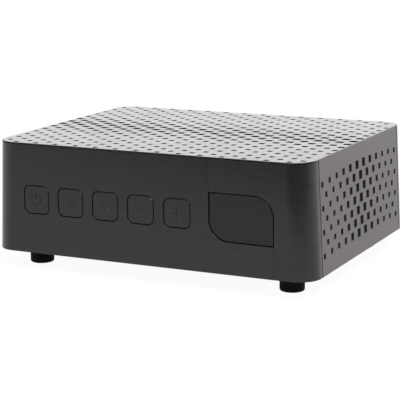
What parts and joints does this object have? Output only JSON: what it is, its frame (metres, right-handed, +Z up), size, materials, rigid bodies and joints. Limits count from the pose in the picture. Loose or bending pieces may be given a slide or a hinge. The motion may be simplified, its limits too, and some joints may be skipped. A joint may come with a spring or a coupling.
{
  "type": "satellite television receiver",
  "caption": "Small set-top receiver: perforated cover with leaning sides, wrapped front with flush square keys and a leaf-shaped window, sockets at the rear, rubber feet.",
  "frame": {"origin": "on the floor, at the middle of the box in plan, aerial connectors included", "axes": "+X to the right seen from the front, +Y from the front to the rear, +Z up"},
  "size_m": [0.1548, 0.1285, 0.0575],
  "materials": {
    "cover_paint": "satin metallic grey paint on moulded plastic",
    "front_paint": "satin dark grey paint on moulded plastic",
    "key_paint": "satin dark grey paint",
    "rear_plastic": "fine-grained dark plastic",
    "base_plastic": "fine-grained black plastic",
    "smoked_window": "smoked, lightly polished",
    "foot_rubber": "matt black",
    "circuit_board": "green solder mask",
    "switch_metal": "tinned",
    "display_case": "black display housing",
    "display_bars": "pale diffuser",
    "smoked_lens": "dark epoxy",
    "red_lens": "tinted epoxy",
    "ribbon": "white flat cable",
    "cream_plastic": "moulded",
    "chip_resin": "moulded epoxy",
    "thermal_rubber": "soft pad",
    "black_anodised": "black anodised",
    "ferrite": "ferrite",
    "capacitor_sleeve": "dark sleeve, bare aluminium top",
    "nickel_plate": "nickel plate",
    "tinned_steel": "tinned sheet",
    "reader_plastic": "moulded",
    "white_insulator": "moulded",
    "orange_insulator": "moulded",
    "socket_plastic": "moulded",
    "plunger_plastic": "moulded",
    "screw_zinc": "zinc plate"
  },
  "bodies": {
    "case": {"top_cover": "cover_paint", "front_fascia": "front_paint", "display_window": "smoked_window", "rear_panel": "rear_plastic", "base_tray": "base_plastic", "foot_front_left": "foot_rubber", "foot_front_right": "foot_rubber", "foot_rear_left": "foot_rubber", "foot_rear_right": "foot_rubber", "key_board": "circuit_board", "key_switches": "switch_metal", "display_module": "display_case", "display_digits": "display_bars", "infrared_receiver": "smoked_lens", "status_lamp": "red_lens", "front_ribbon": "ribbon", "ribbon_sockets": "cream_plastic", "main_board": "circuit_board", "main_processor": "chip_resin", "thermal_pad": "thermal_rubber", "heat_sink": "black_anodised", "memory_chips": "chip_resin", "flash_chip": "chip_resin", "power_inductors": "ferrite", "smoothing_capacitors": "capacitor_sleeve", "clock_crystal": "nickel_plate", "lnb_regulator": "chip_resin", "card_reader": "reader_plastic", "tuner_can": "tinned_steel", "tuner_lid": "tinned_steel", "aerial_input": "nickel_plate", "aerial_loop_output": "nickel_plate", "aerial_inserts": "white_insulator", "aerial_washers": "nickel_plate", "aerial_nuts": "nickel_plate", "power_inlet": "socket_plastic", "power_inlet_pin": "nickel_plate", "av_socket": "socket_plastic", "phono_shell": "nickel_plate", "phono_insert": "orange_insulator", "usb_shell": "tinned_steel", "usb_tongue": "white_insulator", "hdmi_shell": "nickel_plate", "hdmi_tongue": "socket_plastic", "network_socket": "tinned_steel", "case_screws": "screw_zinc", "board_screws": "screw_zinc", "key_board_screws": "screw_zinc", "rear_screws": "screw_zinc"},
    "key_standby": {"key_standby": "key_paint", "plunger_standby": "plunger_plastic"},
    "key_channel_down": {"key_channel_down": "key_paint", "plunger_channel_down": "plunger_plastic"},
    "key_channel_up": {"key_channel_up": "key_paint", "plunger_channel_up": "plunger_plastic"},
    "key_volume_down": {"key_volume_down": "key_paint", "plunger_volume_down": "plunger_plastic"},
    "key_volume_up": {"key_volume_up": "key_paint", "plunger_volume_up": "plunger_plastic"}
  },
  "joints": [
    {"name": "standby_press", "type": "slide", "parent": "case", "child": "key_standby", "axis": [0, 1, 0], "range_m": [0, 0.0004], "stiffness_N_per_m": 1500, "springref_m": -0.0003},
    {"name": "channel_down_press", "type": "slide", "parent": "case", "child": "key_channel_down", "axis": [0, 1, 0], "range_m": [0, 0.0004], "stiffness_N_per_m": 1500, "springref_m": -0.0003},
    {"name": "channel_up_press", "type": "slide", "parent": "case", "child": "key_channel_up", "axis": [0, 1, 0], "range_m": [0, 0.0004], "stiffness_N_per_m": 1500, "springref_m": -0.0003},
    {"name": "volume_down_press", "type": "slide", "parent": "case", "child": "key_volume_down", "axis": [0, 1, 0], "range_m": [0, 0.0004], "stiffness_N_per_m": 1500, "springref_m": -0.0003},
    {"name": "volume_up_press", "type": "slide", "parent": "case", "child": "key_volume_up", "axis": [0, 1, 0], "range_m": [0, 0.0004], "stiffness_N_per_m": 1500, "springref_m": -0.0003}
  ]
}
